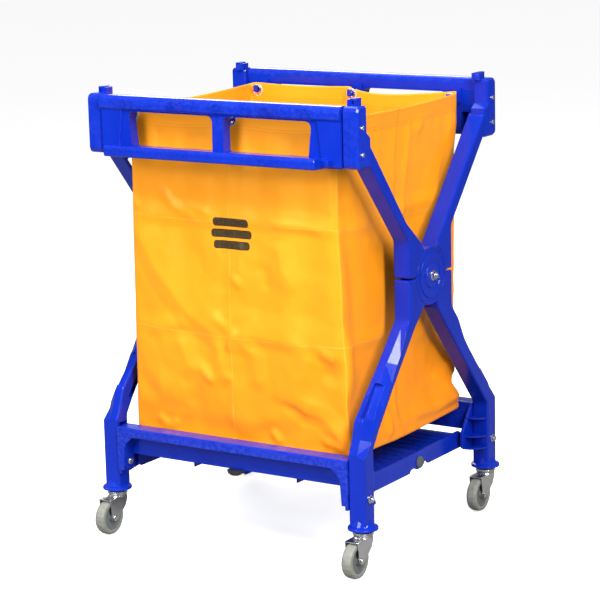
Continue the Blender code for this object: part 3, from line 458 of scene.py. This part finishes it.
# folds of the hidden back panel, invented in the same manner: s is X
BACK_FOLDS = [
    (((0.004, 0.930), (0.010, 0.560), (0.004, 0.230)), 0.0030, 0.050, 0.022),
    (((-0.262, 0.696), (0.000, 0.700), (0.262, 0.695)), 0.0024, 0.026, 0.022),
    (((-0.262, 0.456), (-0.060, 0.462), (0.110, 0.455), (0.262, 0.462)), 0.0030, 0.036, 0.024),
    (((0.225, 0.660), (0.130, 0.560), (0.030, 0.470)), 0.0038, 0.070, 0.036),
    (((-0.200, 0.440), (-0.130, 0.340), (-0.110, 0.260)), 0.0036, 0.040, 0.040),
    (((-0.190, 0.860), (-0.140, 0.770)), 0.0028, 0.020, 0.024),
    (((0.110, 0.880), (0.160, 0.790)), 0.0028, 0.022, 0.020),
    (((0.060, 0.300), (0.150, 0.262)), 0.0034, 0.020, 0.022),
]
# folds of the hidden left side panel, invented too: s is Y
LEFT_FOLDS = [
    (((0.030, 0.930), (0.012, 0.700), (-0.010, 0.225)), 0.0018, 0.010, 0.014),
    (((-0.225, 0.700), (0.000, 0.704), (0.222, 0.715)), 0.0026, 0.028, 0.022),
    (((-0.225, 0.455), (0.060, 0.458), (0.220, 0.450)), 0.0028, 0.028, 0.022),
    (((-0.160, 0.650), (-0.080, 0.560), (0.000, 0.500)), 0.0036, 0.050, 0.036),
    (((0.080, 0.390), (0.160, 0.290)), 0.0040, 0.030, 0.030),
    (((-0.170, 0.360), (-0.090, 0.270)), 0.0038, 0.026, 0.028),
]
PANEL_FOLDS = (FRONT_FOLDS, SIDE_FOLDS, BACK_FOLDS, LEFT_FOLDS)
PANEL_BOW = (0.0030, -0.0130, 0.0020, -0.0130)     # how far each panel's middle swells, + outward


def hem_sag(panel, k):
    """How far the top edge hangs below the hooks, k along the panel."""
    if panel == 0:
        return 0.0050 * math.sin(2 * math.pi * k) ** 2
    if panel == 2:
        x = 0.5 - k
        if x > 0:
            return 0.0140 * max(0.0, math.sin(math.pi * (2 * x) ** 0.6))
        return 0.0040 * math.sin(2 * math.pi * -x)
    return 0.0040 + 0.0050 * math.sin(math.pi * k)


def bottom_sag(panel, k):
    """How far the lower edge hangs below the bag's corners."""
    if panel == 1:
        return 0.0085 * math.sin(math.pi * k ** 0.9)
    return 0.0040 * math.sin(math.pi * k)


def shell_point(panel, k, drop):
    """A point of the bag's wall: k runs 0 to 1 along the panel, drop 0 to 1 from hem to floor."""
    top = TOP - hem_sag(panel, k)
    low = BOTTOM - bottom_sag(panel, k)
    z = top + (low - top) * drop
    corners = corner_points(z)
    a, b = corners[panel], corners[(panel + 1) % 4]
    flat = a + (b - a) * k
    out = Vector(((b - a).y, -(b - a).x)).normalized()
    middle = math.sin(math.pi * k) ** 0.8
    reach = PANEL_BOW[panel] * middle * math.sin(math.pi * min(1.0, drop * 1.05)) ** 0.7
    # the hem stays flat where the eyelets pinch it
    hold = min(1.0, max(0.0, (drop - 0.045) / 0.06))
    rough = noise.fractal(Vector((flat.x * 7.0, flat.y * 7.0, z * 5.0)), 0.9, 2.1, 3)
    reach += 0.0028 * rough * hold * min(1.0, 8.0 * min(k, 1 - k) + 0.10)
    flat = flat + out * reach
    return Vector((flat.x, flat.y, z))


def wall_grid():
    """Columns as (panel, share along it, distance round the girth), the row count and panel widths."""
    spans = (2 * BAG_HI.x, 2 * HALF_Y, 2 * BAG_HI.x, 2 * HALF_Y)
    columns = []
    start = 0.0
    for panel, span in enumerate(spans):
        count = round(span / CELL)
        for i in range(count):
            columns.append((panel, i / count, start + span * i / count))
        start += span
    rows = round((TOP - BOTTOM) / CELL)
    return columns, rows, spans


def rounded(p, corners, radius=0.010):
    """Pull a point near an upright edge in towards a small round."""
    for c in corners:
        d = Vector((p.x - c.x, p.y - c.y))
        far = d.length
        if far < radius:
            inward = Vector((-c.x, -c.y)).normalized()
            pull = (1 - far / radius) ** 2 * radius * 0.30
            return Vector((p.x + inward.x * pull, p.y + inward.y * pull, p.z))
    return p


def build_bag():
    """Open-topped shell: wall ring plus a sagging floor, with a UV map in metres."""
    columns, rows, spans = wall_grid()
    girth = sum(spans)
    high = TOP - BOTTOM
    bm = bmesh.new()
    uv = bm.loops.layers.uv.new("cloth")
    pins = {}
    rings = []
    for j in range(rows + 1):
        ring = []
        for panel, k, _ in columns:
            p = shell_point(panel, k, j / rows)
            p = rounded(p, corner_points(p.z))
            ring.append(bm.verts.new(p))
        rings.append(ring)
    n = len(columns)
    for j in range(rows):
        for i in range(n):
            m = (i + 1) % n
            face = bm.faces.new((rings[j][i], rings[j + 1][i], rings[j + 1][m], rings[j][m]))
            u0 = columns[i][2]
            u1 = columns[m][2] if m else girth
            v0, v1 = high * j / rows, high * (j + 1) / rows
            for loop, value in zip(face.loops, ((u0, v0), (u0, v1), (u1, v1), (u1, v0))):
                loop[uv].uv = value
    # the floor: rows of vertices between the two side panels
    count_x = round(spans[0] / CELL)
    count_y = round(spans[1] / CELL)
    edge = rings[rows]
    floor = [[None] * (count_x + 1) for _ in range(count_y + 1)]
    for i in range(count_x):
        floor[0][i] = edge[i]
        floor[count_y][count_x - i] = edge[count_x + count_y + i]
    for j in range(count_y):
        floor[j][count_x] = edge[count_x + j]
        floor[count_y - j][0] = edge[2 * count_x + count_y + j]
    for j in range(1, count_y):
        for i in range(1, count_x):
            a = floor[j][0].co.lerp(floor[j][count_x].co, i / count_x)
            b = floor[0][i].co.lerp(floor[count_y][i].co, j / count_y)
            p = (a + b) / 2
            wave = noise.fractal(Vector((p.x * 9, p.y * 9, 3.1)), 0.9, 2.0, 2)
            p.z -= 0.0030 * math.sin(math.pi * i / count_x) * math.sin(math.pi * j / count_y)
            p.z += 0.0020 * wave
            floor[j][i] = bm.verts.new(p)
    for j in range(count_y):
        for i in range(count_x):
            face = bm.faces.new((floor[j][i], floor[j + 1][i], floor[j + 1][i + 1], floor[j][i + 1]))
            for loop, (di, dj) in zip(face.loops, ((0, 0), (0, 1), (1, 1), (1, 0))):
                loop[uv].uv = ((i + di) * CELL, high + 0.010 + (j + dj) * CELL)
    bm.normal_update()
    bm.verts.index_update()
    for j, ring in enumerate(rings):
        for v in ring:
            if high * j / rows < PINNED:
                pins[v.index] = 1.0
            elif j == rows:
                pins[v.index] = FLOOR_HOLD
    return mesh_object("bag_cloth", bm), pins


def relax(ob, pins, frames, slack, cap):
    """Let the slightly oversized cloth buckle under its own weight, moving no point further than cap."""
    start = np.array([v.co for v in ob.data.vertices])
    group = ob.vertex_groups.new(name="pin")
    for index, weight in pins.items():
        group.add([index], weight, "REPLACE")
    mod = ob.modifiers.new("cloth", "CLOTH")
    mod.settings.quality = 6
    mod.settings.mass = 0.25
    mod.settings.tension_stiffness = 40
    mod.settings.compression_stiffness = 40
    mod.settings.shear_stiffness = 25
    mod.settings.bending_stiffness = 0.6
    mod.settings.shrink_min = -slack
    mod.settings.vertex_group_mass = "pin"
    mod.settings.effector_weights.gravity = 0.25
    mod.collision_settings.use_collision = False
    mod.collision_settings.use_self_collision = False
    scene = bpy.context.scene
    scene.frame_start = 1
    scene.frame_end = frames
    mod.point_cache.frame_end = frames
    for f in range(1, frames + 1):
        scene.frame_set(f)
    deps = bpy.context.evaluated_depsgraph_get()
    moved = bpy.data.meshes.new_from_object(ob.evaluated_get(deps))
    end = np.array([v.co for v in moved.vertices])
    bpy.data.meshes.remove(moved)
    ob.modifiers.remove(mod)
    scene.frame_set(1)
    step = end - start
    far = np.linalg.norm(step, axis=1)
    keep = cap * np.tanh(far / cap) / np.maximum(far, 1e-9)
    final = start + step * keep[:, None]
    for v, p in zip(ob.data.vertices, final):
        v.co = p


def bake(ob):
    """Turn the object's modifiers into plain mesh."""
    deps = bpy.context.evaluated_depsgraph_get()
    mesh = bpy.data.meshes.new_from_object(ob.evaluated_get(deps))
    ob.modifiers.clear()
    old = ob.data
    ob.data = mesh
    bpy.data.meshes.remove(old)


def press_folds(ob):
    """Press the packing folds and the finer crumples into the fine mesh."""
    verts = ob.data.vertices
    at = np.array([v.co for v in verts])
    normal = np.array([v.normal for v in verts])
    coarse = np.array([noise.noise(Vector((p[0] * 11, p[1] * 11, p[2] * 9 + 5.0))) for p in at])
    fine = np.array([noise.noise(Vector((p[0] * 23 + 3.0, p[1] * 23, p[2] * 20))) for p in at])
    crumple = 0.0030 * (0.35 - np.abs(coarse)) + 0.0018 * (0.30 - np.abs(fine))
    lying = np.abs(normal[:, 2]) > 0.80
    endwise = np.abs(normal[:, 1]) > np.abs(normal[:, 0])
    low_edge = np.clip((at[:, 2] - BOTTOM) / 0.012 + 0.35, 0.0, 1.0)
    hem = np.clip((TOP - HEM * 0.8 - at[:, 2]) / 0.030, 0.0, 1.0)
    step = np.zeros(at.shape)
    for panel, (axis, sign) in enumerate(((1, -1), (0, 1), (1, 1), (0, -1))):
        mine = ~lying & (endwise == (axis == 1)) & (normal[:, axis] * sign > 0)
        along = at[mine][:, 1 - axis]
        limit = HALF_Y if axis == 0 else BAG_HI.x
        side = np.clip((limit - np.abs(along)) / 0.020, 0.0, 1.0)
        rise = crease(np.stack([along, at[mine][:, 2]], axis=1), PANEL_FOLDS[panel])
        push = rise * np.maximum(0.25, side)
        step[mine, axis] = sign * (push + crumple[mine] * side) * hem[mine] * low_edge[mine]
    step[lying, 2] = crumple[lying]
    for v, p in zip(verts, at + step):
        v.co = p


def punch_eyelets(ob):
    """Open a round hole in the cloth behind each eyelet."""
    bm = bmesh.new()
    bm.from_mesh(ob.data)
    for name in EYELETS:
        lo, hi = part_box(name)
        centre = (lo + hi) / 2
        radius = (hi.x - lo.x) / 2 * 0.74
        near = [v for v in bm.verts if (v.co - centre).length < radius * 2.5]
        faces = {f for v in near for f in v.link_faces}
        doomed = [f for f in faces if (f.calc_center_median() - centre).length < radius]
        bmesh.ops.delete(bm, geom=doomed, context="FACES")
        for v in bm.verts:
            if v.is_boundary and (v.co - centre).length < radius * 1.9:
                d = Vector((v.co.x - centre.x, 0, v.co.z - centre.z))
                d = d.normalized() * radius
                v.co = Vector((centre.x + d.x, v.co.y, centre.z + d.z))
    bm.to_mesh(ob.data)
    bm.free()


bag, bag_pins = build_bag()
relax(bag, bag_pins, SIM_FRAMES, SLACK, MOST_MOVE)
smooth = bag.modifiers.new("smooth", "SUBSURF")
smooth.levels = 1
smooth.render_levels = 1
bake(bag)
press_folds(bag)
punch_eyelets(bag)
thick = bag.modifiers.new("thick", "SOLIDIFY")
thick.thickness = CLOTH
thick.offset = 0.0
thick.use_even_offset = True
bake(bag)
bag.data.shade_smooth()
SPAN_X, SPAN_Y = 2 * BAG_HI.x, 2 * HALF_Y
CORNERS = (0.0, SPAN_X, SPAN_X + SPAN_Y, 2 * SPAN_X + SPAN_Y)          # upright edges along the girth
SEAMS = (SPAN_X + SPAN_Y * 0.47, 2 * SPAN_X + SPAN_Y * 1.53)          # sewn joins of the two side panels
PRINT_AT = (BAG_HI.x, TOP - PRINT_HIGH)
bag.data.materials.clear()
bag.data.materials.append(cloth("bag_cloth", CORNERS, SEAMS, PRINT_AT))
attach(bag, "bag")
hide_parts("bag")
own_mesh(bag)


# ---- broad bright flanges of the eyelets, one on each face of the hem ----
FLANGE_R = 0.0133
FLANGE_THICK = 0.0008
AROUND = 40


def flanges(name, body, eyelets):
    """Thin flat rings on both faces of the cloth, round each eyelet."""
    bm = bmesh.new()
    for eyelet in eyelets:
        lo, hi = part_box(eyelet)
        centre = (lo + hi) / 2
        inner = (hi.x - lo.x) / 2 - 0.0002
        for side in (-1, 1):
            near = centre.y + side * (CLOTH / 2 + 0.0001)
            far = near + side * FLANGE_THICK
            profile = ((inner, near), (FLANGE_R, near), (FLANGE_R - 0.0003, far), (inner + 0.0002, far))
            rings = []
            for i in range(AROUND):
                turn = 2 * math.pi * i / AROUND
                across, rise = math.cos(turn), math.sin(turn)
                places = [(centre.x + r * across, y, centre.z + r * rise) for r, y in profile]
                rings.append([bm.verts.new(p) for p in places])
            for i in range(AROUND):
                a, b = rings[i], rings[(i + 1) % AROUND]
                for k in range(len(profile)):
                    m = (k + 1) % len(profile)
                    bm.faces.new((a[k], a[m], b[m], b[k]))
    bmesh.ops.recalc_face_normals(bm, faces=bm.faces)
    ob = mesh_object(name, bm, NICKEL)
    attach(ob, body)


flanges("eyelet_flanges_front", "frame_a", [n for n in EYELETS if n.startswith("eyelet_f")])
flanges("eyelet_flanges_back", "frame_b", [n for n in EYELETS if n.startswith("eyelet_b")])


# ---- ribbed grips round the lower outer edge of the two top bars ----
GRIPS = (-0.222, -0.102, 0.008, 0.122, 0.210)     # centres along the rail
RIBS = 10
RIB_PITCH = 0.0034
RIB_WIDE = 0.0016
RIB_HIGH = 0.0006
RIB_SUNK = 0.0004                                 # how deep their inner side sits in the bar
BAR_DEEP = 0.0290                                 # from the rail's highest point to the bar's underside
BAR_CORNER = 0.0070                               # round of the bar's lower edge


def bar_edge(rail, out, stand):
    """Outline points (y, z) round the bar's lower outer corner, standing off the surface by stand."""
    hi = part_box(rail)[1]
    high = [nodes[rail].matrix_world @ v.co for v in nodes[rail].data.vertices]
    face = max(p.y * out for p in high if p.z > hi.z - 0.020)
    under = hi.z - BAR_DEEP
    radius = BAR_CORNER
    points = [(face + stand, under + 0.0200)]
    for k in range(5):
        turn = math.radians(-90.0 * k / 4)
        reach = radius + stand
        points.append((face - radius + reach * math.cos(turn), under + radius + reach * math.sin(turn)))
    points.append((face - radius - 0.0040, under - stand))
    return [(y * out, z) for y, z in points]


def grip_ribs(name, rail, body, out):
    """Groups of raised ribs that wrap the bar's lower outer edge; out is the rail's outward way in Y."""
    bm = bmesh.new()
    outline = bar_edge(rail, out, RIB_HIGH) + bar_edge(rail, out, -RIB_SUNK)[::-1]
    for centre in GRIPS:
        for i in range(RIBS):
            x = centre + (i - (RIBS - 1) / 2) * RIB_PITCH
            ends = [[bm.verts.new((x + s * RIB_WIDE / 2, y, z)) for y, z in outline] for s in (-1, 1)]
            bm.faces.new(ends[0])
            bm.faces.new(ends[1][::-1])
            for k in range(len(outline)):
                m = (k + 1) % len(outline)
                bm.faces.new((ends[0][m], ends[0][k], ends[1][k], ends[1][m]))
    bmesh.ops.recalc_face_normals(bm, faces=bm.faces)
    ob = mesh_object(name, bm, BLUE)
    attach(ob, body)


grip_ribs("rail_grips_front", "rail_front", "frame_a", -1)
grip_ribs("rail_grips_back", "rail_back", "frame_b", 1)


# ---- floor, light and camera ----
def plane(name, size, z):
    """A square sheet lying at height z."""
    bm = bmesh.new()
    half = size / 2
    corners = ((-half, -half), (half, -half), (half, half), (-half, half))
    bm.faces.new([bm.verts.new((x, y, z)) for x, y in corners])
    return mesh_object(name, bm)


def paper(name):
    """Pale studio paper; the camera sees it a little brighter than it lights the trolley."""
    s = Shader(name)
    speck = s.noise(3.0, 2.0, 0.5)
    pale = s.mix(speck, (0.80, 0.80, 0.80), (0.84, 0.84, 0.84))
    ray = s.node("ShaderNodeLightPath").outputs
    seen = ray["Is Camera Ray"]
    s.set(Base_Color=s.mix(seen, (0.26, 0.26, 0.26), pale), Roughness=0.85, Specular_IOR_Level=0.1)
    s.set(Emission_Color=(1.0, 1.0, 1.0, 1.0), Emission_Strength=s.math("MULTIPLY", seen, 0.66))
    return s.mat


floor = plane("studio_floor", 80.0, cad_box[0].z - 0.0005)
floor.data.materials.append(paper("studio_paper"))


def area(name, place, target, size, watts):
    """A soft white light at place, aimed at target."""
    data = bpy.data.lights.new(name, "AREA")
    data.shape = "RECTANGLE"
    data.size, data.size_y = size
    data.energy = watts
    ob = bpy.data.objects.new(name, data)
    bpy.context.scene.collection.objects.link(ob)
    ob.location = place
    ob.rotation_euler = (Vector(target) - Vector(place)).to_track_quat("-Z", "Y").to_euler()


MIDDLE = (0.0, 0.0, 0.5)
area("strip", (2.70, -1.62, 2.60), (0.05, -0.1, 0.50), (0.55, 2.80), 168)
area("front", (-0.45, -3.30, 1.70), (0.0, -0.2, 0.55), (1.0, 1.3), 62)
area("high", (-0.30, -2.30, 3.30), (0.0, -0.2, 0.60), (1.3, 1.1), 66)
area("top", (-0.4, 0.9, 3.4), MIDDLE, (2.0, 2.0), 40)
area("left", (-3.2, -1.4, 1.8), MIDDLE, (0.8, 1.8), 18)
area("back", (-2.2, 3.0, 2.4), MIDDLE, (1.4, 1.4), 48)

ROOM = 0.34                           # strength of the room's light
ROOM_MIRRORED = 0.26                  # what reflections see of it; the camera itself sees plain white


def room():
    """White surroundings that look dimmer in reflections and brighter to the camera."""
    world = bpy.data.worlds.new("studio")
    world.use_nodes = True
    tree = world.node_tree
    background = tree.nodes["Background"]
    background.inputs["Color"].default_value = (1.0, 1.0, 1.0, 1.0)
    path = tree.nodes.new("ShaderNodeLightPath")
    scale = tree.nodes.new("ShaderNodeMapRange")
    scale.inputs["To Min"].default_value = ROOM
    scale.inputs["To Max"].default_value = ROOM_MIRRORED
    tree.links.new(path.outputs["Is Glossy Ray"], scale.inputs["Value"])
    brightest = tree.nodes.new("ShaderNodeMath")
    brightest.operation = "MAXIMUM"
    tree.links.new(path.outputs["Is Camera Ray"], brightest.inputs[0])
    tree.links.new(scale.outputs[0], brightest.inputs[1])
    tree.links.new(brightest.outputs[0], background.inputs["Strength"])
    bpy.context.scene.world = world
    world.cycles.sampling_method = "NONE"
    bpy.context.scene.view_settings.view_transform = "Standard"


room()

AZIMUTH, ELEVATION, ROLL = math.radians(32.811), math.radians(11.759), math.radians(-1.392)
CAMERA_AT = (2.5622, -3.9638, 1.4712)
LENS = 134.18                         # in mm, on a film 36 mm wide
FILM = 36.0
SHIFT_X = -0.0027
FAR = 200.0                           # how far the camera sees


def add_camera():
    """Camera at the photograph's viewing angle."""
    data = bpy.data.cameras.new("camera")
    camera = bpy.data.objects.new("camera", data)
    bpy.context.scene.collection.objects.link(camera)
    level = math.cos(ELEVATION)
    back = Vector((math.sin(AZIMUTH) * level, -math.cos(AZIMUTH) * level, math.sin(ELEVATION)))
    right = Vector((math.cos(AZIMUTH), math.sin(AZIMUTH), 0.0))
    up = back.cross(right)
    rolled_right = right * math.cos(ROLL) + up * math.sin(ROLL)
    rolled_up = up * math.cos(ROLL) - right * math.sin(ROLL)
    turn = Matrix((rolled_right, rolled_up, back)).transposed()
    camera.matrix_world = Matrix.Translation(CAMERA_AT) @ turn.to_4x4()
    data.sensor_width = FILM
    data.lens = LENS
    data.shift_x = SHIFT_X
    data.clip_end = FAR
    bpy.context.scene.camera = camera


add_camera()
